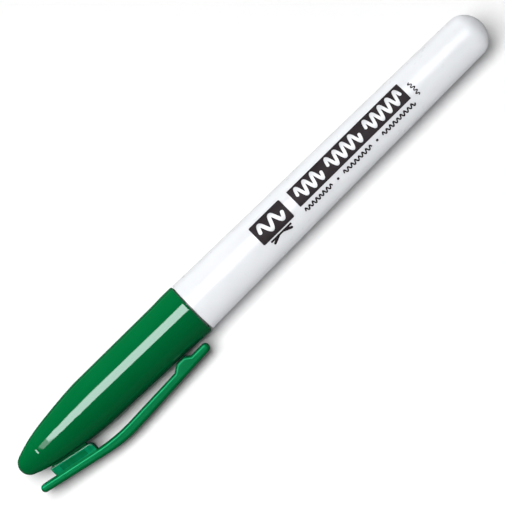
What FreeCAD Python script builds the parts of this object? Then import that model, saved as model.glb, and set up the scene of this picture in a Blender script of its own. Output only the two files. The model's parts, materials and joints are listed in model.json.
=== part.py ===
"""Slim whiteboard marker with its cap on, lying on its side.

Every sub-part is drawn in the marker's own coordinates: X runs along the barrel's axis from the cap's
tip to the tail, Y points from the axis to the clip and Z runs across the clip. One placement then rolls
the whole marker about its axis, so that the clip's edge and the cap's rim both touch the ground Z = 0,
and puts the origin under the middle of its box.
"""
import FreeCAD
import Part
import Sketcher
import math
import os

Vector = FreeCAD.Vector
TOUCHING = 1e-6  # mm, how close counts as touching

# The driving dimensions, in millimetres and degrees: alias, value, what it is.
DIMENSIONS = [
    # placement on the ground
    ("clip_roll", 25.27, "angle of the clip below the horizontal"),
    ("axis_ahead", 68.103, "cap tip to the origin, along the axis"),
    ("axis_side", 1.878, "barrel axis from the origin, along Y"),
    ("axis_height", 6.257, "barrel axis above the ground"),
    # barrel
    ("rim_gap", 0.28, "cap rim to barrel shoulder"),
    ("barrel_length", 85.92, "shoulder to tail"),
    ("shoulder_radius", 6.16, "barrel radius beside the cap rim"),
    ("shoulder_round", 0.15, "edge round of the shoulder"),
    ("tail_radius", 5.01, "barrel radius where the tail dome starts"),
    ("dome_length", 4.2, "length of the tail dome"),
    ("dome_side_bend", 3.4, "bend radius of the dome's side"),
    ("dome_end_bend", 5.33, "bend radius of the dome's end"),
    ("dome_end_depth", 2.23, "tail to where the two bends meet"),
    ("wall", 1.0, "barrel wall"),
    ("neck_length", 14.0, "length of the neck that the cap grips"),
    ("neck_radius", 4.95, "neck radius"),
    ("neck_bore", 4.0, "radius of the bore for the front section's plug"),
    ("neck_chamfer", 0.35, "lead-in chamfer of the neck"),
    ("bead_height", 0.04, "snap bead above the neck"),
    ("bead_back", 6.0, "shoulder to the snap bead's middle"),
    ("bead_half", 0.7, "half the snap bead's length"),
    # fins inside the barrel
    ("fin_count", 6, "number of centring fins"),
    ("fin_thickness", 0.7, "thickness of a fin"),
    ("fin_inner_radius", 3.74, "radius that the centring fins leave free"),
    ("fin_start", 44.0, "shoulder to the front of the centring fins"),
    ("stop_start", 75.0, "shoulder to the front of the stop fins"),
    ("stop_inner_radius", 1.6, "radius that the stop fins leave free"),
    # front section
    ("plug_length", 10.0, "plug inside the neck"),
    ("plug_slack", 0.01, "radial slack of the plug"),
    ("plug_wall", 0.9, "wall of the plug"),
    ("flange_length", 1.2, "flange against the neck's end"),
    ("flange_radius", 4.88, "flange radius"),
    ("grip_radius", 4.6, "grip cone radius at the flange"),
    ("grip_length", 9.0, "length of the grip cone"),
    ("grip_end_radius", 3.7, "grip cone radius at the land"),
    ("land_length", 5.8, "length of the seal land"),
    ("land_radius", 3.4, "radius of the seal land"),
    ("land_chamfer", 0.25, "lead-in chamfer of the land"),
    ("nozzle_length", 3.2, "length of the nozzle"),
    ("nozzle_radius", 3.0, "nozzle radius at the land"),
    ("nozzle_end_radius", 2.7, "nozzle radius at its end"),
    ("groove_width", 0.5, "width of an air groove in the nozzle's bore"),
    ("groove_depth", 0.25, "depth of an air groove"),
    ("groove_count", 4, "number of air grooves"),
    # nib and reservoir
    ("nib_radius", 2.0, "nib radius"),
    ("nib_slack", 0.02, "radial slack of the nib in its bore"),
    ("nib_reach", 4.7, "nozzle end to the nib's point"),
    ("bullet_length", 3.22, "length of the nib's bullet"),
    ("bullet_bend", 4.29, "bend radius of the bullet's side"),
    ("bullet_nose", 1.3, "bend radius of the bullet's nose"),
    ("bullet_nose_depth", 0.464, "length of the bullet's nose"),
    ("nib_length", 26.0, "point to the start of the nib's tail"),
    ("nib_tail_radius", 1.4, "radius of the nib's tail"),
    ("nib_tail_length", 13.0, "length of the nib's tail"),
    ("nib_point_length", 1.6, "length of the pointed end of the tail"),
    ("reservoir_start", 3.2, "shoulder forward to the reservoir's front"),
    ("reservoir_length", 77.8, "length of the reservoir"),
    ("reservoir_radius", 3.6, "radius of the fibre"),
    ("film_thickness", 0.08, "thickness of the film"),
    ("film_slack", 0.01, "fibre to film"),
    ("film_inset", 0.2, "film end behind the fibre's end"),
    # cap shell
    ("cap_length", 50.0, "cap tip to rim"),
    ("cap_lean", 0.9, "lean of the cap's outside away from the clip"),
    ("nose_bend", 2.6, "bend radius of the cap's nose"),
    ("nose_end", 1.636, "tip to the end of the nose"),
    ("cheek_bend", 34.12, "bend radius of the crown's cheek"),
    ("cheek_end", 9.1, "tip to the end of the cheek"),
    ("cheek_end_radius", 4.45, "cap radius at the end of the cheek"),
    ("crown_bend", 152.7, "bend radius of the crown's long curve"),
    ("crown_end", 19.0, "tip to the end of the crown's long curve"),
    ("crown_end_radius", 5.643, "cap radius at the end of the long curve"),
    ("brow_bend", 41.0, "bend radius where the crown runs into the straight taper"),
    ("brow_end", 22.0, "tip to the start of the straight taper"),
    ("brow_end_radius", 5.795, "cap radius at the start of the straight taper"),
    ("bead_start", 44.0, "tip to the start of the rim bead"),
    ("bead_start_radius", 6.1, "cap radius where the rim bead starts"),
    ("bead_full", 47.4, "tip to the full rim bead"),
    ("rim_radius", 6.26, "radius of the rim bead"),
    ("rim_round", 0.5, "outer edge round of the rim"),
    # inside of the cap
    ("mouth_radius", 5.02, "bore of the cap round the neck"),
    ("mouth_start", 34.4, "tip to the start of the bore round the neck"),
    ("mid_radius", 4.72, "bore of the cap between the seal and the neck"),
    ("mouth_chamfer", 0.35, "lead-in chamfer of the mouth"),
    ("snap_groove_depth", 0.08, "depth of the snap groove"),
    ("seal_seat", 26.0, "tip to the step that the seal's flange rests on"),
    ("seal_slack", 0.05, "radial clearance of the seal, inside and outside"),
    ("seal_wall", 0.9, "wall of the seal cup"),
    ("seal_flange", 1.0, "thickness of the seal's flange"),
    ("seal_bore_start", 19.6, "tip to the start of the seal's straight bore"),
    ("seal_end", 9.6, "tip to the seal's closed end"),
    ("seal_end_radius", 2.95, "outer radius of the seal at its closed end"),
    # clip, as stations from the cap tip and heights from the axis
    ("clip_width", 4.6, "width of the clip"),
    ("clip_edge", 0.6, "edge round of the clip"),
    ("clip_front", 1.25, "tip to the clip's front end"),
    ("front_inner", 4.45, "inner face at the front end"),
    ("front_outer", 6.25, "outer face at the front end"),
    ("front_round", 0.93, "half-round of the front end"),
    ("knee_inner_start", 14.5, "start of the knee's bend, inner face"),
    ("knee_inner_low", 7.13, "inner face there"),
    ("knee_inner_end", 24.0, "end of the knee's bend, inner face"),
    ("knee_inner_high", 7.88, "inner face there"),
    ("knee_inner_bend", 39.3, "bend radius of the inner face"),
    ("knee_outer_start", 16.2, "start of the knee's bend, outer face"),
    ("knee_outer_low", 9.53, "outer face there"),
    ("knee_outer_end", 24.6, "end of the knee's bend, outer face"),
    ("knee_outer_high", 10.2, "outer face there"),
    ("knee_outer_bend", 31.05, "bend radius of the outer face"),
    ("clip_end", 47.1, "tip to the clip's free end"),
    ("end_inner", 6.98, "inner face at the free end"),
    ("end_outer", 8.98, "outer face at the free end"),
    ("end_round", 0.95, "corner rounds of the free end"),
    ("tooth_front", 37.8, "tip to the tooth's front foot"),
    ("tooth_front_height", 7.28, "inner face there"),
    ("tooth_top_start", 39.5, "tip to the start of the tooth's top"),
    ("tooth_top_end", 41.6, "tip to the end of the tooth's top"),
    ("tooth_height", 6.1, "height of the tooth's top above the axis"),
    ("tooth_back", 42.9, "tip to the tooth's back foot"),
    ("tooth_back_height", 7.05, "inner face there"),
    ("clip_split", 15.3, "tip to where the free arm starts"),
    # block between cap and clip
    ("block_width", 4.3, "width of the block"),
    ("block_start", 5.0, "tip to the block's square end"),
    ("block_end", 15.0, "tip to the block's round end"),
    ("block_low_start", 3.2, "cap side of the block at its square end"),
    ("block_low_end", 5.06, "cap side of the block at its round end"),
    ("block_corner", 1.0, "corner round of the block"),
    ("block_bury", 0.4, "how far the block reaches into the clip"),
    ("block_edge", 0.18, "edge round of the block"),
    ("rib_width", 2.6, "width of the rib that ties the block to the cap"),
    ("rib_inset", 0.6, "rib end behind the block's end"),
    ("rib_depth", 1.3, "how far the rib reaches below the block"),
    ("recess_depth", 0.2, "depth of the recess in the block's sides"),
    ("recess_start", 6.9, "tip to the front of the recess"),
    ("recess_end", 13.0, "tip to the back of the recess"),
    ("recess_margin", 0.55, "recess to the block's cap side"),
    ("recess_height", 1.15, "height of the recess"),
]

doc = FreeCAD.newDocument("WhiteboardMarker")
sheet = doc.addObject("Spreadsheet::Sheet", "Dimensions")
for row, (alias, value, note) in enumerate(DIMENSIONS, start=1):
    sheet.set(f"A{row}", note)
    sheet.set(f"B{row}", str(value))
    sheet.setAlias(f"B{row}", alias)
doc.recompute()

ALIASES = {alias for alias, _, _ in DIMENSIONS}
sub_parts = []


# ------------------------------------------------------------------ expressions and sketches

def bound(text):
    """The expression with every alias written as a cell of the sheet, as in Dimensions.wall."""
    words = text.replace("(", " ( ").replace(")", " ) ").split()
    return "".join(f"Dimensions.{word}" if word in ALIASES else word for word in words)


def number(text):
    """The present value of an expression."""
    return float(sheet.evalExpression(bound(text)))


def bind(thing, name, text):
    """Ties one property of a feature or sketch to the sheet."""
    thing.setExpression(name, bound(text))


def origin_plane(body, role="XY_Plane"):
    """One of the body's own origin planes or axes."""
    return next(feature for feature in body.Origin.OriginFeatures if feature.Role == role)


def new_body(name):
    """A sub-part. Its label names its file, and its placement lays the marker on the ground."""
    body = doc.addObject("PartDesign::Body", name)
    body.Label = name
    body.Placement.Rotation = FreeCAD.Rotation(Vector(1, 0, 0), 180)
    bind(body, "Placement.Rotation.Angle", "( 180 + clip_roll ) * 1 deg")
    bind(body, "Placement.Base.x", "( 0 - axis_ahead ) * 1 mm")
    bind(body, "Placement.Base.y", "axis_side * 1 mm")
    bind(body, "Placement.Base.z", "axis_height * 1 mm")
    sub_parts.append(body)
    return body


def arc_between(start, end, radius, turns_left):
    """A circular arc under half a turn, and whether it runs backwards, because arcs run anticlockwise."""
    chord = end - start
    side = Vector(-chord.y, chord.x, 0).normalize() * (1 if turns_left else -1)
    rise = math.sqrt(max(radius ** 2 - (chord.Length / 2) ** 2, 0))
    centre = (start + end) * 0.5 + side * rise
    first, last = (start, end) if turns_left else (end, start)
    angles = [math.atan2(point.y - centre.y, point.x - centre.x) for point in (first, last)]
    if angles[1] < angles[0]:
        angles[1] += 2 * math.pi
    circle = Part.Circle(centre, Vector(0, 0, 1), radius)
    return Part.ArcOfCircle(circle, angles[0], angles[1]), not turns_left


def outline(body, name, points, height=None):
    """A closed, fully driven sketch in the body's XY plane.

    Each point is (x, y) or (x, y, side, bend): then an arc of radius bend leads to the next point and
    side says whether it turns "left" or "right". Every x, y and bend is an expression.
    """
    sketch = body.newObject("Sketcher::SketchObject", name)
    sketch.AttachmentSupport = (origin_plane(body), [""])
    sketch.MapMode = "FlatFace"
    if height:
        bind(sketch, "AttachmentOffset.Base.z", f"( {height} ) * 1 mm")
    places = [Vector(number(point[0]), number(point[1]), 0) for point in points]
    ends = []
    for index, point in enumerate(points):
        here, there = places[index], places[(index + 1) % len(points)]
        backwards = False
        if len(point) == 4:
            curve, backwards = arc_between(here, there, number(point[3]), point[2] == "left")
        else:
            curve = Part.LineSegment(here, there)
        edge = sketch.addGeometry(curve, False)
        ends.append((edge, 2, 1) if backwards else (edge, 1, 2))
    for index, point in enumerate(points):
        edge, start, _ = ends[index]
        before, _, finish = ends[index - 1]
        sketch.addConstraint(Sketcher.Constraint("Coincident", before, finish, edge, start))
        for kind, text in (("DistanceX", point[0]), ("DistanceY", point[1])):
            if text == "0":
                axis = -1 if kind == "DistanceY" else -2
                sketch.addConstraint(Sketcher.Constraint("PointOnObject", edge, start, axis))
            else:
                rule = Sketcher.Constraint(kind, -1, 1, edge, start, number(text))
                bind(sketch, f"Constraints[{sketch.addConstraint(rule)}]", text)
        if len(point) == 4:
            rule = Sketcher.Constraint("Radius", edge, number(point[3]))
            bind(sketch, f"Constraints[{sketch.addConstraint(rule)}]", point[3])
    return sketch


def ball_radius(bend, depth):
    """The radius that a ball of radius bend shows at a depth below its top."""
    return f"sqrt ( {depth} * ( 2 * {bend} - {depth} ) )"


# ------------------------------------------------------------------ features

def turned(body, kind, sketch, name):
    """A full turn of a sketch about its own X axis: a Revolution adds it and a Groove cuts it."""
    feature = body.newObject(f"PartDesign::{kind}", name)
    feature.Profile = sketch
    feature.ReferenceAxis = (sketch, ["H_Axis"])
    feature.Angle = 360
    return feature


def padded(body, kind, sketch, name, length, midplane=True):
    """A straight Pad or Pocket of a sketch."""
    feature = body.newObject(f"PartDesign::{kind}", name)
    feature.Profile = sketch
    bind(feature, "Length", length)
    feature.Midplane = midplane
    return feature


def repeated(body, feature, name, count):
    """Copies a feature evenly round the marker's axis."""
    pattern = body.newObject("PartDesign::PolarPattern", name)
    pattern.Originals = [feature]
    pattern.Axis = (origin_plane(body, "X_Axis"), [""])
    pattern.Angle = 360
    bind(pattern, "Occurrences", count)
    body.Tip = pattern
    return pattern


def rounded(body, base, name, radius, wanted):
    """Rounds the edges of the base feature for which wanted(edge) is true."""
    doc.recompute()
    names = [f"Edge{i}" for i, edge in enumerate(base.Shape.Edges, start=1) if wanted(edge)]
    fillet = body.newObject("PartDesign::Fillet", name)
    fillet.Base = (base, names)
    bind(fillet, "Radius", radius)
    return fillet


def lies_on_side(half_width):
    """A test for the edges that lie in one of the two side planes Z = half_width and Z = -half_width."""
    def test(edge):
        heights = [vertex.Z for vertex in edge.Vertexes] + [edge.CenterOfMass.z]
        return all(abs(abs(height) - half_width) < TOUCHING for height in heights)
    return test


SHOULDER = "cap_length + rim_gap"
TAIL = f"{SHOULDER} + barrel_length"
NECK_END = f"{SHOULDER} - neck_length"
FLANGE_END = f"{NECK_END} - flange_length"
LAND_START = f"{FLANGE_END} - grip_length"
LAND_END = f"{LAND_START} - land_length"
NOZZLE_END = f"{LAND_END} - nozzle_length"
NIB_POINT = f"{NOZZLE_END} - nib_reach"
NIB_BORE = "nib_radius + nib_slack"


# ------------------------------------------------------------------ barrel group

def make_barrel():
    """Tapered tube with a closed dome, a neck with a snap bead, and fins that centre the reservoir."""
    body = new_body("barrel")
    dome = f"{TAIL} - dome_length"
    bead = f"{SHOULDER} - bead_back"
    outside = outline(body, "BarrelOutside", [
        (NECK_END, "0"),
        (NECK_END, "neck_radius - neck_chamfer"),
        (f"{NECK_END} + neck_chamfer", "neck_radius"),
        (f"{bead} - bead_half", "neck_radius"),
        (bead, "neck_radius + bead_height"),
        (f"{bead} + bead_half", "neck_radius"),
        (SHOULDER, "neck_radius"),
        (SHOULDER, "shoulder_radius - shoulder_round", "right", "shoulder_round"),
        (f"{SHOULDER} + shoulder_round", "shoulder_radius"),
        (dome, "tail_radius", "right", "dome_side_bend"),
        (f"{TAIL} - dome_end_depth", ball_radius("dome_end_bend", "dome_end_depth"),
         "right", "dome_end_bend"),
        (TAIL, "0"),
    ])
    turned(body, "Revolution", outside, "BarrelTube")
    hollow = outline(body, "BarrelHollow", [
        (NECK_END, "0"),
        (NECK_END, "neck_bore"),
        (SHOULDER, "neck_bore"),
        (f"{SHOULDER} + wall", "shoulder_radius - wall"),
        (dome, "tail_radius - wall"),
        (f"{TAIL} - wall - wall", "stop_inner_radius"),
        (f"{TAIL} - wall", "0"),
    ])
    turned(body, "Groove", hollow, "BarrelBore")
    # each fin reaches half-way into the wall at its front end
    fin = outline(body, "CentringFinShape", [
        (f"{SHOULDER} + fin_start", "fin_inner_radius"),
        (f"{SHOULDER} + fin_start + wall", "tail_radius"),
        (f"{TAIL} - dome_length", "tail_radius - wall / 2"),
        (f"{TAIL} - dome_length", "fin_inner_radius"),
    ])
    fin_pad = padded(body, "Pad", fin, "CentringFin", "fin_thickness")
    repeated(body, fin_pad, "CentringFins", "fin_count")
    stop = outline(body, "StopFinShape", [
        (f"{SHOULDER} + stop_start", "stop_inner_radius"),
        (f"{SHOULDER} + stop_start", "tail_radius - wall / 2"),
        (f"{TAIL} - dome_length", "tail_radius - wall / 2"),
        (f"{TAIL} - wall - wall / 2", "stop_inner_radius"),
    ])
    stop_pad = padded(body, "Pad", stop, "StopFin", "fin_thickness")
    repeated(body, stop_pad, "StopFins", "fin_count")


def make_front_section():
    """Nib holder: plug in the neck, flange, grip cone, seal land and nozzle."""
    body = new_body("front_section")
    plug_end = f"{NECK_END} + plug_length"
    outside = outline(body, "FrontOutside", [
        (NOZZLE_END, "0"),
        (NOZZLE_END, "nozzle_end_radius"),
        (LAND_END, "nozzle_radius"),
        (LAND_END, "land_radius - land_chamfer"),
        (f"{LAND_END} + land_chamfer", "land_radius"),
        (LAND_START, "land_radius"),
        (LAND_START, "grip_end_radius"),
        (FLANGE_END, "grip_radius"),
        (FLANGE_END, "flange_radius"),
        (NECK_END, "flange_radius"),
        (NECK_END, "neck_bore - plug_slack"),
        (plug_end, "neck_bore - plug_slack"),
        (plug_end, "0"),
    ])
    turned(body, "Revolution", outside, "FrontSolid")
    bore = outline(body, "FrontBore", [
        (NOZZLE_END, "0"),
        (NOZZLE_END, NIB_BORE),
        (NECK_END, NIB_BORE),
        (f"{NECK_END} + plug_wall", "neck_bore - plug_wall"),
        (plug_end, "neck_bore - plug_wall"),
        (plug_end, "0"),
    ])
    turned(body, "Groove", bore, "NibBore")
    groove = outline(body, "AirGrooveShape", [
        (NOZZLE_END, "nib_radius - groove_depth"),
        (NOZZLE_END, f"{NIB_BORE} + groove_depth"),
        (NECK_END, f"{NIB_BORE} + groove_depth"),
        (NECK_END, "nib_radius - groove_depth"),
    ])
    air = padded(body, "Pocket", groove, "AirGroove", "groove_width")
    repeated(body, air, "AirGrooves", "groove_count")


def make_nib():
    """Felt rod with a bullet front and a thin pointed tail."""
    body = new_body("nib")
    tail = f"{NIB_POINT} + nib_length"
    end = f"{tail} + nib_tail_length"
    shape = outline(body, "NibShape", [
        (NIB_POINT, "0", "right", "bullet_nose"),
        (f"{NIB_POINT} + bullet_nose_depth", ball_radius("bullet_nose", "bullet_nose_depth"),
         "right", "bullet_bend"),
        (f"{NIB_POINT} + bullet_length", "nib_radius"),
        (f"{tail} - nib_point_length", "nib_radius"),
        (tail, "nib_tail_radius"),
        (f"{end} - nib_point_length", "nib_tail_radius"),
        (end, "0"),
    ])
    turned(body, "Revolution", shape, "NibRod")


def make_reservoir():
    """Fibre rod with a socket for the nib's tail, and the film round it."""
    start = f"{SHOULDER} - reservoir_start"
    end = f"{start} + reservoir_length"
    tail_end = f"{NIB_POINT} + nib_length + nib_tail_length"
    core = new_body("reservoir_core")
    rod = outline(core, "FibreShape", [
        (start, "nib_tail_radius + nib_slack"),
        (start, "reservoir_radius"),
        (end, "reservoir_radius"),
        (end, "0"),
        (f"{tail_end} + nib_slack", "0"),
        (f"{tail_end} - nib_point_length", "nib_tail_radius + nib_slack"),
    ])
    turned(core, "Revolution", rod, "FibreRod")
    wrap = new_body("reservoir_wrap")
    inside = "reservoir_radius + film_slack"
    film = outline(wrap, "FilmShape", [
        (f"{start} + film_inset", inside),
        (f"{start} + film_inset", f"{inside} + film_thickness"),
        (f"{end} - film_inset", f"{inside} + film_thickness"),
        (f"{end} - film_inset", inside),
    ])
    turned(wrap, "Revolution", film, "FilmTube")


# ------------------------------------------------------------------ cap group

def clip_bar(body):
    """The whole clip, from its front end over the knee to its free end, with its tooth and round edges."""
    side = outline(body, "ClipSide", [
        ("clip_front", "front_inner", "right", "front_round"),
        ("clip_front", "front_outer"),
        ("knee_outer_start", "knee_outer_low", "right", "knee_outer_bend"),
        ("knee_outer_end", "knee_outer_high"),
        ("clip_end - end_round", "end_outer", "right", "end_round"),
        ("clip_end", "end_outer - end_round"),
        ("clip_end", "end_inner + end_round", "right", "end_round"),
        ("clip_end - end_round", "end_inner"),
        ("tooth_back", "tooth_back_height"),
        ("tooth_top_end", "tooth_height"),
        ("tooth_top_start", "tooth_height"),
        ("tooth_front", "tooth_front_height"),
        ("knee_inner_end", "knee_inner_high", "left", "knee_inner_bend"),
        ("knee_inner_start", "knee_inner_low"),
    ])
    bar = padded(body, "Pad", side, "ClipBar", "clip_width")
    return rounded(body, bar, "ClipEdges", "clip_edge", lies_on_side(number("clip_width") / 2))


def trim(body, name, start, end):
    """Cuts the clip bar away between two stations."""
    box = outline(body, name + "Box", [
        (start, "front_inner - clip_width"),
        (end, "front_inner - clip_width"),
        (end, "knee_outer_high + clip_width"),
        (start, "knee_outer_high + clip_width"),
    ])
    padded(body, "Pocket", box, name, "clip_width * 2")


def make_clip():
    """The free arm of the clip."""
    body = new_body("clip")
    clip_bar(body)
    trim(body, "RootTrim", "0", "clip_split")


def make_cap_shell():
    """Leaning crown with a rim bead, hollow for the neck and the seal, and the block that holds the clip."""
    body = new_body("cap_shell")
    clip_bar(body)
    trim(body, "ArmTrim", "clip_split", "clip_end + clip_width")
    # the block's clip side is buried in the clip's root
    slope = "( knee_inner_low - front_inner ) / ( knee_inner_start - clip_front )"
    block = outline(body, "BlockShape", [
        ("block_start", "block_low_start"),
        ("block_start", f"front_inner + ( block_start - clip_front ) * {slope} + block_bury"),
        ("block_end", f"front_inner + ( block_end - clip_front ) * {slope} + block_bury"),
        ("block_end", "block_low_end + block_corner", "right", "block_corner"),
        ("block_end - block_corner", "block_low_end"),
    ])
    block_pad = padded(body, "Pad", block, "Block", "block_width")
    on_side = lies_on_side(number("block_width") / 2)
    clip_face = number("block_low_start") + number("block_corner")

    def shows(edge):
        return on_side(edge) and edge.CenterOfMass.y < clip_face + edge.CenterOfMass.x * number(slope)

    rounded(body, block_pad, "BlockEdges", "block_edge", shows)
    rise = "( block_low_end - block_low_start ) / ( block_end - block_corner - block_start )"
    front_edge = f"block_low_start + ( recess_start - block_start ) * {rise} + recess_margin"
    back_edge = f"block_low_start + ( recess_end - block_start ) * {rise} + recess_margin"
    recess = outline(body, "RecessShape", [
        ("recess_start", front_edge),
        ("recess_end", back_edge),
        ("recess_end", f"{back_edge} + recess_height"),
        ("recess_start", f"{front_edge} + recess_height"),
    ], height="block_width / 2")
    hollow = padded(body, "Pocket", recess, "Recess", "recess_depth", midplane=False)
    mirror = body.newObject("PartDesign::Mirrored", "Recesses")
    mirror.Originals = [hollow]
    mirror.MirrorPlane = (origin_plane(body), [""])
    body.Tip = mirror
    rib = outline(body, "RibShape", [
        ("block_start + rib_inset", "block_low_start - rib_depth"),
        ("block_start + rib_inset", "block_low_start + rib_inset"),
        ("block_end - block_corner", "block_low_end + rib_inset"),
        ("block_end - block_corner", "block_low_end - rib_depth"),
    ])
    padded(body, "Pad", rib, "Rib", "rib_width")
    crown = outline(body, "CrownShape", [
        ("0", "0", "right", "nose_bend"),
        ("nose_end", ball_radius("nose_bend", "nose_end"), "right", "cheek_bend"),
        ("cheek_end", "cheek_end_radius", "right", "crown_bend"),
        ("crown_end", "crown_end_radius", "right", "brow_bend"),
        ("brow_end", "brow_end_radius"),
        ("bead_start", "bead_start_radius"),
        ("bead_full", "rim_radius"),
        ("cap_length - rim_round", "rim_radius", "right", "rim_round"),
        ("cap_length", "rim_radius - rim_round"),
        ("cap_length", "0"),
    ])
    # the outside turns about an axis that leans about the middle of the rim
    bind(crown, "AttachmentOffset.Rotation.Angle", "cap_lean * 1 deg")
    bind(crown, "AttachmentOffset.Base.x", "cap_length * ( 1 - cos ( cap_lean * 1 deg ) ) * 1 mm")
    bind(crown, "AttachmentOffset.Base.y", "( 0 - cap_length ) * sin ( cap_lean * 1 deg ) * 1 mm")
    turned(body, "Revolution", crown, "Crown")
    bead = f"{SHOULDER} - bead_back"
    seat_radius = "land_radius + seal_slack * 2 + seal_wall"
    inside = outline(body, "CapInside", [
        ("seal_end - seal_slack * 2", "0"),
        ("seal_end - seal_slack * 2", "seal_end_radius + seal_slack"),
        ("seal_bore_start", seat_radius),
        ("seal_seat", seat_radius),
        ("seal_seat", "mid_radius"),
        ("mouth_start", "mid_radius"),
        ("mouth_start", "mouth_radius"),
        (f"{bead} - bead_half * 2", "mouth_radius"),
        (bead, "mouth_radius + snap_groove_depth"),
        (f"{bead} + bead_half * 2", "mouth_radius"),
        ("cap_length - mouth_chamfer", "mouth_radius"),
        ("cap_length + rim_gap", "mouth_radius + mouth_chamfer + rim_gap"),
        ("cap_length + rim_gap", "0"),
    ])
    turned(body, "Groove", inside, "CapHollow")


def make_cap_inner_seal():
    """Seal cup that closes round the front section's land."""
    body = new_body("cap_inner_seal")
    bore = "land_radius + seal_slack"
    flange = "mid_radius - seal_slack"
    seat = "seal_seat + seal_slack"
    shape = outline(body, "SealShape", [
        ("seal_end", "0"),
        ("seal_end", "seal_end_radius"),
        ("seal_bore_start", f"{bore} + seal_wall"),
        (seat, f"{bore} + seal_wall"),
        (seat, flange),
        (f"{seat} + seal_flange", flange),
        (f"{seat} + seal_flange", f"{bore} + seal_wall"),
        ("seal_seat - seal_flange", bore),
        ("seal_bore_start", bore),
        ("seal_end + seal_wall", "seal_end_radius - seal_wall"),
        ("seal_end + seal_wall", "0"),
    ])
    turned(body, "Revolution", shape, "SealCup")


def check_document():
    """Stops with a plain message if anything failed to build."""
    for thing in doc.Objects:
        if {"Invalid", "Error"} & set(thing.State):
            raise RuntimeError(f"{thing.Label} failed: {thing.State}")
    for body in sub_parts:
        shape = body.Shape
        if shape.isNull() or not shape.isValid() or len(shape.Solids) != 1:
            raise RuntimeError(f"{body.Label} isn't one valid solid")


make_barrel()
make_front_section()
make_nib()
make_reservoir()
make_cap_shell()
make_cap_inner_seal()
make_clip()
doc.recompute()
check_document()

os.makedirs("parts", exist_ok=True)
for body in sub_parts:
    body.Shape.exportStep(f"parts/{body.Label}.step")
    print(f"{body.Label:16s} {body.Shape.Volume:9.1f} mm3")
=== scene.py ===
"""Looks of the slim whiteboard marker: plastics, felt, print, stage, lights and camera."""
import json
import math

import bpy
import numpy as np
from mathutils import Matrix, Vector
from mathutils.bvhtree import BVHTree


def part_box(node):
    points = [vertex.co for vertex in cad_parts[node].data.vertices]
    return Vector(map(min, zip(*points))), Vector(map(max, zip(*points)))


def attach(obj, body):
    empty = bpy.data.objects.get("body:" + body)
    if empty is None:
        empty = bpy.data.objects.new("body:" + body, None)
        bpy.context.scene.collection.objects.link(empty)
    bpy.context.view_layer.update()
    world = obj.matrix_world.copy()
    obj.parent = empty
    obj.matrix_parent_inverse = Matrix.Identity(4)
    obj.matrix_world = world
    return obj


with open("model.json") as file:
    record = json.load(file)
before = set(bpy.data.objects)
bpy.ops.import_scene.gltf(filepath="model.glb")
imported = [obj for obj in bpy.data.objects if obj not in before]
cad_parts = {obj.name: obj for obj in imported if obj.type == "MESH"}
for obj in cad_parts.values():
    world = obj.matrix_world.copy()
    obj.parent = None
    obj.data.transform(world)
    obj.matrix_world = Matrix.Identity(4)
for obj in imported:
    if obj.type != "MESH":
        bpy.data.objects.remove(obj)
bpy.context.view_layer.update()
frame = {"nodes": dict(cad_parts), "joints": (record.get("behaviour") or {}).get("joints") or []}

MM = 0.001
SCENE = bpy.context.scene

# ------------------------------------------------------------------ places, from the frame

JOINTS = {joint["name"]: joint for joint in frame["joints"]}
ALONG = Vector((1, 0, 0))                                    # cap tip to tail
ACROSS = Vector(JOINTS["clip_flex"]["axis"]).normalized()    # across the clip, away from the camera
OUTWARD = ACROSS.cross(ALONG).normalized()                   # from the barrel's axis to the clip
FACING = -ACROSS                                             # the side of the marker that is printed
AXIS_Y, AXIS_Z = JOINTS["cap_turn"]["pos_m"][1:]
TIP_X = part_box("cap_shell")[0].x
RIM_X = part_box("cap_shell")[1].x
TAIL_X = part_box("barrel")[1].x


def on_axis(x):
    """The point of the barrel's axis at a station."""
    return Vector((x, AXIS_Y, AXIS_Z))


# ------------------------------------------------------------------ node helpers

FACTOR_IN, COLOUR_A_IN, COLOUR_B_IN, COLOUR_OUT = 0, 6, 7, 2    # sockets of a colour Mix node
OCCLUSION_SAMPLES = 8


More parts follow.
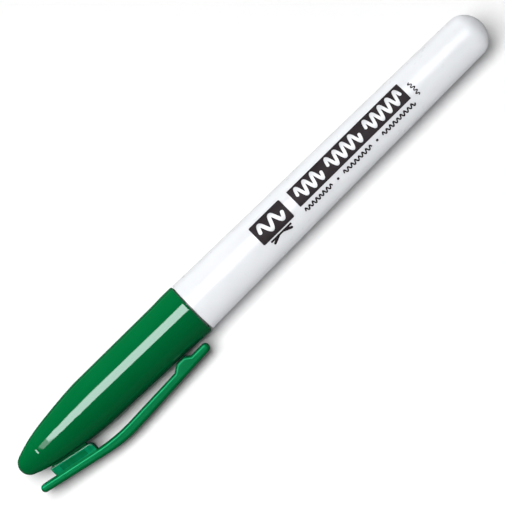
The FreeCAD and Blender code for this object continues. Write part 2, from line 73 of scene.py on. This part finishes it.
class Nodes:
    """A short way to write a node material."""

    def __init__(self, name):
        self.material = bpy.data.materials.new(name)
        self.material.use_nodes = True
        self.tree = self.material.node_tree
        self.shader = self.tree.nodes["Principled BSDF"]
        self.place = self.add("ShaderNodeTexCoord").outputs["Object"]

    def add(self, kind, inputs=(), **settings):
        node = self.tree.nodes.new(kind)
        for key, value in settings.items():
            setattr(node, key, value)
        for key, value in dict(inputs).items():
            self.put(node.inputs[key], value)
        return node

    def put(self, socket, value):
        if isinstance(value, bpy.types.NodeSocket):
            self.tree.links.new(value, socket)
        else:
            socket.default_value = value

    def set(self, **values):
        """Sets shader sockets: Base_Color=..., Roughness=..."""
        for key, value in values.items():
            self.put(self.shader.inputs[key.replace("_", " ")], value)

    def stretched(self, scale):
        """Object coordinates, scaled differently along each axis."""
        return self.add("ShaderNodeMapping", {"Vector": self.place, "Scale": scale}).outputs["Vector"]

    def noise(self, scale, detail=3.0, roughness=0.5, vector=None):
        inputs = {"Vector": vector or self.place, "Scale": scale, "Detail": detail, "Roughness": roughness}
        return self.add("ShaderNodeTexNoise", inputs).outputs["Fac"]

    def between(self, factor, low, high, start=0.0, end=1.0):
        """Maps a factor from start..end to low..high."""
        inputs = {"Value": factor, "From Min": start, "From Max": end, "To Min": low, "To Max": high}
        return self.add("ShaderNodeMapRange", inputs).outputs["Result"]

    def mix(self, factor, first, second):
        """Blends two colours. The node has sockets of its own for colours, reached by number."""
        node = self.add("ShaderNodeMix", data_type="RGBA")
        for socket, value in zip((FACTOR_IN, COLOUR_A_IN, COLOUR_B_IN), (factor, first, second)):
            self.put(node.inputs[socket], value)
        return node.outputs[COLOUR_OUT]

    def maths(self, operation, first, second=0.0):
        return self.add("ShaderNodeMath", {0: first, 1: second}, operation=operation).outputs[0]

    def painted_shade(self, reach, colour, darkest):
        """Painted shade: the colour, darker down to a share of itself where other surfaces stand within
        reach.
        """
        sky = self.add("ShaderNodeAmbientOcclusion", {"Distance": reach}, samples=OCCLUSION_SAMPLES)
        share = self.between(sky.outputs["AO"], darkest, 1.0, 0.25, 0.75)
        return self.mix(share, (0, 0, 0, 1), colour)

    def bump(self, height, distance, strength=1.0, under=None):
        inputs = {"Height": height, "Distance": distance, "Strength": strength}
        if under:
            inputs["Normal"] = under
        return self.add("ShaderNodeBump", inputs).outputs["Normal"]


def fine_scratches(nodes, amount):
    """Hair-thin handling scratches that run mostly along the marker, as a factor."""
    streaks = nodes.noise(1.0, 2.0, 0.6, nodes.stretched((60, 2600, 2600)))
    patches = nodes.noise(140.0, 2.0)
    lines = nodes.between(streaks, 0.0, 1.0, 0.66, 0.74)
    where = nodes.between(patches, 0.0, amount, 0.5, 0.7)
    return nodes.maths("MULTIPLY", lines, where)


# ------------------------------------------------------------------ materials

def marker_place(nodes):
    """Where a point lies: distance across the clip's plane, height towards the clip, station from the tip."""
    across, outward, along = (
        nodes.add("ShaderNodeVectorMath", {0: nodes.place, 1: axis}, operation="DOT_PRODUCT").outputs["Value"]
        for axis in (ACROSS, OUTWARD, ALONG))
    side = nodes.maths("ABSOLUTE", nodes.maths("SUBTRACT", across, on_axis(0).dot(ACROSS)))
    height = nodes.maths("SUBTRACT", outward, on_axis(0).dot(OUTWARD))
    return side, height, nodes.maths("SUBTRACT", along, TIP_X)


def block_mask(nodes, side, height, station):
    """1 on the sides of the thin block between the cap and its clip, 0 elsewhere."""
    low = nodes.between(station, 3.4 * MM, 5.3 * MM, 5.0 * MM, 15.0 * MM)
    high = nodes.between(station, 5.1 * MM, 7.1 * MM, 5.0 * MM, 15.0 * MM)
    mask = nodes.maths("GREATER_THAN", side, 1.85 * MM)
    for test, first, second in (("GREATER_THAN", height, low), ("LESS_THAN", height, high),
                                ("LESS_THAN", station, 15.2 * MM)):
        mask = nodes.maths("MULTIPLY", mask, nodes.maths(test, first, second))
    return mask


def cap_green():
    """Glossy green moulded plastic: deep colour, satin on the clip, a fine moulding ring near the tip,
    a painted glow of light in the thin block, and painted shade where other surfaces stand close.
    """
    nodes = Nodes("cap_green")
    side, height, station = marker_place(nodes)
    cloud = nodes.noise(90.0, 3.0, 0.55)
    cloud = nodes.between(cloud, 0, 1, 0.3, 0.7)
    deep = nodes.mix(cloud, (0.0003, 0.112, 0.028, 1), (0.0004, 0.122, 0.032, 1))
    # painted glow: the thin block's sides get a lighter green in noisy patches, as if lit from within; it is
    # weaker on the recessed floor, which is painted shade
    patches = nodes.between(nodes.noise(900.0, 2.0), 0.45, 1.0, 0.35, 0.62)
    painted_glow = nodes.maths("MULTIPLY", block_mask(nodes, side, height, station), patches)
    painted_glow = nodes.maths("MULTIPLY", painted_glow, nodes.between(side, 0.45, 1.0, 1.98 * MM, 2.12 * MM))
    colour = nodes.mix(painted_glow, deep, (0.001, 0.215, 0.090, 1))
    clip_face = nodes.between(station, 4.4 * MM, 6.5 * MM, 1.25 * MM, 12.0 * MM)
    clip = nodes.maths("GREATER_THAN", height, clip_face)
    scratches = fine_scratches(nodes, 0.10)
    rough = nodes.maths("ADD", nodes.between(nodes.noise(420.0), 0.045, 0.075, 0.3, 0.7), scratches)
    rough = nodes.maths("ADD", rough, nodes.maths("MULTIPLY", clip, 0.15))
    ripple = nodes.bump(nodes.noise(75.0, 1.0), 0.06 * MM, 0.35)
    from_ring = nodes.maths("ABSOLUTE", nodes.maths("SUBTRACT", station, 6.0 * MM))
    ring = nodes.bump(nodes.between(from_ring, 0.0, 1.0, 0.0, 0.35 * MM), 0.06 * MM, 0.7, ripple)
    # painted shade: the base colour darkens to a quarter of itself where other surfaces stand within 2 mm, as
    # under the clip and inside the cap
    nodes.set(Base_Color=nodes.painted_shade(2.0 * MM, colour, 0.25), Roughness=rough, IOR=1.58)
    nodes.set(Normal=nodes.bump(scratches, 0.01 * MM, 0.2, ring))
    nodes.set(Sheen_Weight=0.10, Sheen_Roughness=0.35, Sheen_Tint=(0.10, 1.0, 0.62, 1))
    nodes.set(Specular_Tint=nodes.mix(clip, (0.84, 1.0, 0.99, 1), (0.06, 0.88, 0.42, 1)))
    return nodes.material


def barrel_white():
    """Milky white moulded plastic: light glows a little inside it, semi-gloss skin with fine grain, and
    painted shade where other surfaces stand close.
    """
    nodes = Nodes("barrel_white")
    cloud = nodes.noise(60.0, 3.0, 0.5, nodes.stretched((0.35, 1, 1)))
    cloud = nodes.between(cloud, 0, 1, 0.3, 0.7)
    colour = nodes.mix(cloud, (0.662, 0.677, 0.702, 1), (0.680, 0.694, 0.718, 1))
    scratches = fine_scratches(nodes, 0.1)
    rough = nodes.maths("ADD", nodes.between(nodes.noise(700.0), 0.27, 0.33, 0.3, 0.7), scratches)
    grain = nodes.bump(nodes.noise(2400.0, 2.0), 0.008 * MM, 0.25)
    # painted shade: the base colour darkens to a twentieth of itself where other surfaces stand within half a
    # millimetre, as at the neck under the cap
    nodes.set(Base_Color=nodes.painted_shade(0.5 * MM, colour, 0.05), Roughness=rough)
    nodes.set(Normal=nodes.bump(scratches, 0.01 * MM, 0.15, grain))
    nodes.set(Subsurface_Weight=0.5, Subsurface_Radius=(1.0, 1.0, 1.0), Subsurface_Scale=2.0 * MM)
    nodes.set(Specular_IOR_Level=0.26, IOR=1.49)
    return nodes.material


def front_white():
    """Satin white plastic of the nib holder, stained a little by ink towards its nozzle."""
    nodes = Nodes("front_white")
    x = nodes.add("ShaderNodeSeparateXYZ", {"Vector": nodes.place}).outputs["X"]
    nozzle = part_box("front_section")[0].x
    wavy = nodes.maths("ADD", x, nodes.between(nodes.noise(500.0, 4.0), -1.2 * MM, 1.2 * MM))
    stain = nodes.between(wavy, 0.75, 0.0, nozzle + 0.4 * MM, nozzle + 2.8 * MM)
    colour = nodes.mix(stain, (0.74, 0.75, 0.77, 1), (0.010, 0.160, 0.065, 1))
    rough = nodes.between(nodes.noise(900.0), 0.36, 0.46, 0.3, 0.7)
    nodes.set(Base_Color=colour, Roughness=rough, Normal=nodes.bump(nodes.noise(1800.0), 0.01 * MM, 0.3))
    nodes.set(Subsurface_Weight=0.2, Subsurface_Scale=1.0 * MM)
    return nodes.material


def felt(name, light, dark, sheen):
    """Bonded fibres that run along the marker, wet with ink."""
    nodes = Nodes(name)
    fibres = nodes.noise(1.0, 4.0, 0.65, nodes.stretched((900, 6500, 6500)))
    blotch = nodes.between(nodes.noise(500.0, 3.0), 0, 0.3, 0.35, 0.65)
    tone = nodes.maths("ADD", nodes.between(fibres, 0, 0.7, 0.3, 0.7), blotch)
    nodes.set(Base_Color=nodes.mix(tone, dark, light), Roughness=nodes.between(fibres, 0.62, 0.85))
    nodes.set(Normal=nodes.bump(fibres, 0.06 * MM, 0.8), Sheen_Weight=sheen, Sheen_Roughness=0.5)
    return nodes.material


def seal_plastic():
    """Soft natural plastic of the seal cup."""
    nodes = Nodes("seal_natural")
    cloud = nodes.noise(300.0, 3.0)
    colour = nodes.mix(nodes.between(cloud, 0, 1, 0.3, 0.7), (0.66, 0.70, 0.68, 1), (0.72, 0.75, 0.73, 1))
    nodes.set(Base_Color=colour, Roughness=nodes.between(nodes.noise(1200.0), 0.42, 0.52, 0.3, 0.7))
    nodes.set(Subsurface_Weight=0.5, Subsurface_Scale=1.0 * MM, Normal=nodes.bump(cloud, 0.03 * MM, 0.2))
    return nodes.material


def film_clear():
    """Thin film round the reservoir, creased lightly along its length."""
    nodes = Nodes("film")
    creases = nodes.noise(1.0, 3.0, 0.6, nodes.stretched((45, 900, 900)))
    nodes.set(Base_Color=nodes.mix(creases, (0.62, 0.72, 0.67, 1), (0.72, 0.80, 0.76, 1)))
    nodes.set(Roughness=nodes.between(creases, 0.16, 0.3), Normal=nodes.bump(creases, 0.04 * MM, 0.5))
    nodes.set(Transmission_Weight=0.3)
    return nodes.material


def ink_black():
    """Dark printing ink: a thin, slightly warm film with specks where it took less."""
    nodes = Nodes("ink_black")
    grain = nodes.noise(5200.0, 2.0, 0.6)
    wash = nodes.noise(260.0, 3.0)
    tone = nodes.maths("ADD", nodes.between(grain, 0, 0.5, 0.62, 0.8), nodes.between(wash, 0, 0.3, 0.4, 0.7))
    nodes.set(Base_Color=nodes.mix(tone, (0.021, 0.015, 0.018, 1), (0.052, 0.040, 0.046, 1)))
    nodes.set(Roughness=nodes.between(grain, 0.55, 0.70, 0.3, 0.7), Normal=nodes.bump(grain, 0.006 * MM, 0.3))
    nodes.set(Specular_IOR_Level=0.12)
    return nodes.material


def floor_white():
    """Plain pale studio paper. The marker mirrors it only faintly and gets little light back from it."""
    nodes = Nodes("studio_paper")
    paper = nodes.mix(nodes.noise(900.0, 3.0), (0.96, 0.96, 0.96, 1), (0.98, 0.98, 0.98, 1))
    path = nodes.add("ShaderNodeLightPath").outputs
    paper = nodes.mix(path["Is Diffuse Ray"], paper, (0.45, 0.45, 0.45, 1))
    paper = nodes.mix(path["Is Glossy Ray"], paper, (0.03, 0.035, 0.035, 1))
    nodes.set(Base_Color=paper, Roughness=0.9, Specular_IOR_Level=0.0)
    return nodes.material


def dress(node, material):
    """Gives a CAD node its material."""
    mesh = frame["nodes"][node].data
    mesh.materials.clear()
    mesh.materials.append(material)


green = cap_green()
dress("barrel", barrel_white())
dress("front_section", front_white())
dress("nib", felt("nib_felt", (0.010, 0.120, 0.048, 1), (0.002, 0.038, 0.016, 1), 0.3))
dress("reservoir_core", felt("reservoir_fibre", (0.06, 0.30, 0.16, 1), (0.01, 0.10, 0.05, 1), 0.2))
dress("reservoir_wrap", film_clear())
dress("cap_inner_seal", seal_plastic())
dress("cap_shell", green)
dress("clip", green)


# ------------------------------------------------------------------ print on the barrel
#
# The artwork is drawn flat in millimetres: x from the cap's rim towards the tail, y round the barrel
# from the line that faces the camera towards the clip. Each drawing is a field, positive inside.

SWING_STEPS = 10           # points along one swing of a scribble
NO_LENGTH = 1e-12          # square millimetres, keeps a dot from dividing by zero


def box_field(x, y, low_x, high_x, low_y, high_y, corner):
    """A rectangle with round corners."""
    dx = np.abs(x - (low_x + high_x) / 2) - (high_x - low_x) / 2 + corner
    dy = np.abs(y - (low_y + high_y) / 2) - (high_y - low_y) / 2 + corner
    outside = np.hypot(np.maximum(dx, 0), np.maximum(dy, 0))
    return corner - outside - np.minimum(np.maximum(dx, dy), 0)


def stroke_field(x, y, path, half):
    """A pen line with round ends along a path of points."""
    best = np.full(x.shape, np.inf)
    for (ax, ay), (bx, by) in zip(path, path[1:]):
        squared = max((bx - ax) ** 2 + (by - ay) ** 2, NO_LENGTH)
        share = np.clip(((x - ax) * (bx - ax) + (y - ay) * (by - ay)) / squared, 0, 1)
        best = np.minimum(best, np.hypot(x - ax - share * (bx - ax), y - ay - share * (by - ay)))
    return half - best


def squiggle(start, end, middle, heights, pitch, upright=False):
    """A scribbled line that swings up and down once per pitch, each swing with its own height."""
    swings = max(2, round((end - start) / pitch))
    points = []
    for index in range(swings * SWING_STEPS + 1):
        turn = index / SWING_STEPS
        height = heights[int(turn) % len(heights)]
        x = start + (end - start) * turn / swings
        y = middle - height * math.sin(math.pi * turn)
        points.append((y, x) if upright else (x, y))
    return points


def union(*fields):
    """Inside any of the fields."""
    return np.maximum.reduce(fields)


def banner_art(x, y):
    """A dark bar with three bold scribbles left open in it."""
    bar = box_field(x, y, 31.2, 63.7, -3.6, 0.95, 0.1)
    groups = ((32.5, 39.4), (41.4, 50.6), (52.6, 62.6))
    heights = (1.45, 1.25, 1.4, 1.3)
    lines = [stroke_field(x, y, squiggle(a, b, -1.3, heights, 1.15), 0.36) for a, b in groups]
    return np.minimum(bar, -union(*lines))


def caption_art(x, y):
    """Small scribbles with round dots between them."""
    groups = ((31.5, 39.2), (42.8, 50.8), (54.2, 63.6))
    heights = (0.5, 0.34, 0.44, 0.3, 0.52, 0.38)
    lines = [stroke_field(x, y, squiggle(a, b, 2.35, heights, 0.52), 0.16) for a, b in groups]
    dots = [stroke_field(x, y, [(centre, 2.3), (centre, 2.3)], 0.3) for centre in (41.0, 52.5)]
    return union(*lines, *dots)


def edge_mark_art(x, y):
    """A tiny scribble that runs round the barrel."""
    return stroke_field(x, y, squiggle(-1.75, 1.6, 65.55, (0.42, 0.25, 0.36), 0.42, upright=True), 0.12)


def board_art(x, y):
    """A little dark writing board on its stand, with a bold wavy line left open on it."""
    board = box_field(x, y, 20.1, 29.0, -3.7, 1.45, 0.35)
    wave = stroke_field(x, y, squiggle(21.4, 27.7, -1.1, (1.45, 1.2), 1.57), 0.42)
    tray = box_field(x, y, 21.6, 27.5, 1.75, 2.2, 0.15)
    middle = 24.55
    feet = [[(middle + side * 0.8, 2.0), (middle + side * 2.4, 2.75)] for side in (-1, 1)]
    legs = [stroke_field(x, y, path, 0.3) for path in feet]
    return union(np.minimum(board, -wave), tray, *legs)


def traced(field, low, high, step):
    """Flat points and faces of the field's inside, cut cleanly along its edge."""
    count_x, count_y = (int(math.ceil((high[i] - low[i]) / step)) + 1 for i in (0, 1))
    xs = low[0] + step * np.arange(count_x)
    ys = low[1] + step * np.arange(count_y)
    values = field(*np.meshgrid(xs, ys, indexing="ij"))
    points, faces, known = [], [], {}

    def point(key, x, y):
        if key not in known:
            known[key] = len(points)
            points.append((x, y))
        return known[key]

    for i in range(count_x - 1):
        for j in range(count_y - 1):
            corners = [(i, j), (i + 1, j), (i + 1, j + 1), (i, j + 1)]
            if all(values[c] <= 0 for c in corners):
                continue
            face = []
            for here, there in zip(corners, corners[1:] + corners[:1]):
                inside, next_inside = values[here] > 0, values[there] > 0
                if inside:
                    face.append(point(here, xs[here[0]], ys[here[1]]))
                if inside != next_inside:
                    share = values[here] / (values[here] - values[there])
                    x = xs[here[0]] + share * (xs[there[0]] - xs[here[0]])
                    y = ys[here[1]] + share * (ys[there[1]] - ys[here[1]])
                    face.append(point(tuple(sorted((here, there))), x, y))
            if len(face) > 2:
                faces.append(face)
    return points, faces


INK_LIFT = 0.004 * MM      # ink's underside above the plastic
INK_THICKNESS = 0.012 * MM
INK_STEP = 0.09            # drawing grid, in millimetres
RAY_START = 50 * MM        # from the axis, well outside the barrel
CREASE = math.radians(40)


def skin_of(node):
    """A search tree of a CAD node's surface."""
    mesh = frame["nodes"][node].data
    return BVHTree.FromPolygons([v.co for v in mesh.vertices], [p.vertices for p in mesh.polygons])


def printed(name, field, low, high, body, skin, material):
    """Prints a drawing on the barrel as a thin closed film of ink."""
    flat, flat_faces = traced(field, low, high, INK_STEP)
    count = len(flat)
    bottom, top = [], []
    for x, y in flat:
        centre = on_axis(RIM_X + x * MM)
        radius = (skin.ray_cast(centre + FACING * RAY_START, -FACING)[0] - centre).length
        angle = y * MM / radius
        ray = FACING * math.cos(angle) + OUTWARD * math.sin(angle)
        hit = skin.ray_cast(centre + ray * RAY_START, -ray)[0]
        bottom.append(hit + ray * INK_LIFT)
        top.append(hit + ray * (INK_LIFT + INK_THICKNESS))
    edges = [edge for face in flat_faces for edge in zip(face, face[1:] + face[:1])]
    known = set(edges)
    rim = [(a, b) for a, b in edges if (b, a) not in known]
    faces = [[count + i for i in reversed(face)] for face in flat_faces] + flat_faces
    faces += [[b, a, count + a, count + b] for a, b in rim]
    mesh = bpy.data.meshes.new(name)
    mesh.from_pydata([*bottom, *top], [], faces)
    mesh.validate()
    mesh.polygons.foreach_set("use_smooth", [True] * len(mesh.polygons))
    mesh.set_sharp_from_angle(angle=CREASE)
    mesh.materials.append(material)
    piece = bpy.data.objects.new(name, mesh)
    SCENE.collection.objects.link(piece)
    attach(piece, body)


barrel_skin = skin_of("barrel")
black = ink_black()
for title, art, low, high in (
        ("print_board", board_art, (19.9, -4.0), (29.2, 3.3)),
        ("print_banner", banner_art, (31.0, -3.8), (63.9, 1.2)),
        ("print_caption", caption_art, (31.0, 1.5), (64.1, 3.2)),
        ("print_edge_mark", edge_mark_art, (64.7, -2.2), (66.5, 2.0))):
    printed(title, art, low, high, "barrel", barrel_skin, black)


# ------------------------------------------------------------------ stage, lights, camera

def make_floor():
    """A wide pale sheet under the marker."""
    reach = 3.0
    corners = [(-reach, -reach, 0), (reach, -reach, 0), (reach, reach, 0), (-reach, reach, 0)]
    mesh = bpy.data.meshes.new("floor")
    mesh.from_pydata(corners, [], [(0, 1, 2, 3)])
    mesh.materials.append(floor_white())
    floor = bpy.data.objects.new("floor", mesh)
    SCENE.collection.objects.link(floor)


def softbox(name, turn, distance, width, length, radiance, shift=0.0, glossy=True, diffuse=True, lit=()):
    """A rectangular light that aims at the marker.

    turn is its angle round the marker from the camera's side, away from the clip, in degrees.
    width is its size round the marker, length its size along it and shift how far along it is moved.
    Sizes are in metres. It lights the CAD nodes named in lit, or everything if none is named. Without
    glossy it casts no reflection, and without diffuse it casts nothing else.
    """
    angle = math.radians(turn)
    out = FACING * math.cos(angle) - OUTWARD * math.sin(angle)
    side = ALONG.cross(out)
    light = bpy.data.lights.new(name, "AREA")
    light.shape = "RECTANGLE"
    light.size, light.size_y = length, width
    light.energy = radiance * math.pi * width * length
    lamp = bpy.data.objects.new(name, light)
    SCENE.collection.objects.link(lamp)
    spot = MIDDLE + out * distance + ALONG * shift
    lamp.matrix_world = Matrix((
        (ALONG.x, side.x, out.x, spot.x),
        (ALONG.y, side.y, out.y, spot.y),
        (ALONG.z, side.z, out.z, spot.z),
        (0, 0, 0, 1)))
    lamp.visible_glossy, lamp.visible_diffuse = glossy, diffuse
    if lit:
        lamp.light_linking.receiver_collection = bpy.data.collections.new(name)
        for node in lit:
            lamp.light_linking.receiver_collection.objects.link(frame["nodes"][node])


VIEW_SHARE = 0.4952        # where the picture's middle falls between the tip and the tail
VIEW_SIDE = 0.65 * MM      # and how far beside the axis, towards the clip
VIEW_SLOPE = 44.60         # the marker's slope in the picture, in degrees
VIEW_WIDTH = 107.0 * MM    # what the picture spans at the marker
LENS = 150.0
SENSOR = 36.0

MIDDLE = on_axis(TIP_X + (TAIL_X - TIP_X) * VIEW_SHARE)


def make_camera():
    """A long lens square to the clip's side, turned so that the marker climbs to the upper right."""
    slope = math.radians(VIEW_SLOPE)
    right = ALONG * math.cos(slope) + OUTWARD * math.sin(slope)
    up = ALONG * math.sin(slope) - OUTWARD * math.cos(slope)
    distance = VIEW_WIDTH * LENS / SENSOR
    spot = MIDDLE + OUTWARD * VIEW_SIDE + FACING * distance
    data = bpy.data.cameras.new("camera")
    data.lens, data.sensor_width = LENS, SENSOR
    data.clip_start, data.clip_end = 0.01, 20.0
    camera = bpy.data.objects.new("camera", data)
    SCENE.collection.objects.link(camera)
    camera.matrix_world = Matrix((
        (right.x, up.x, FACING.x, spot.x),
        (right.y, up.y, FACING.y, spot.y),
        (right.z, up.z, FACING.z, spot.z),
        (0, 0, 0, 1)))
    SCENE.camera = camera


def make_world(strength):
    """Even soft fill that isn't mirrored by glossy surfaces. Beyond the floor the camera sees white."""
    world = bpy.data.worlds.new("studio")
    world.use_nodes = True
    tree = world.node_tree
    background = tree.nodes["Background"]
    background.inputs["Color"].default_value = (1.0, 1.0, 1.0, 1)
    seen = tree.nodes.new("ShaderNodeLightPath").outputs["Is Camera Ray"]
    level = tree.nodes.new("ShaderNodeMapRange")
    level.inputs["To Min"].default_value = strength
    level.inputs["To Max"].default_value = 1.0
    tree.links.new(seen, level.inputs["Value"])
    tree.links.new(level.outputs["Result"], background.inputs["Strength"])
    world.cycles_visibility.glossy = False
    SCENE.world = world


make_floor()
make_camera()
make_world(0.25)

# one strip above the marker: its light, its reflection, and a fainter reflection that reaches the tip
STRIP_TURN = 20.5
softbox("key", STRIP_TURN, 0.60, width=0.36, length=0.60, radiance=6.1, shift=-0.19, glossy=False)
softbox("key_shine", STRIP_TURN, 0.61, width=0.362, length=0.50, radiance=7.3, shift=-0.085, diffuse=False)
softbox("tip_shine", STRIP_TURN, 0.62, width=0.368, length=0.62, radiance=3.2, shift=-0.145, diffuse=False)

# weak fills from the sides, each for its own pieces
for title, turn, width, radiance, pieces in (
        ("left_fill", 80.0, 0.60, 1.9, frame["nodes"]),
        ("cap_fill", 110.0, 0.60, 3.5, ("cap_shell", "clip")),
        ("barrel_fill", -62.0, 0.40, 4.6, ("barrel",)),
        ("barrel_edge", 108.0, 0.60, 1.5, ("barrel",))):
    softbox(title, turn, 0.80, width, 0.90, radiance, glossy=False, lit=pieces)

SCENE.view_settings.view_transform = "Standard"
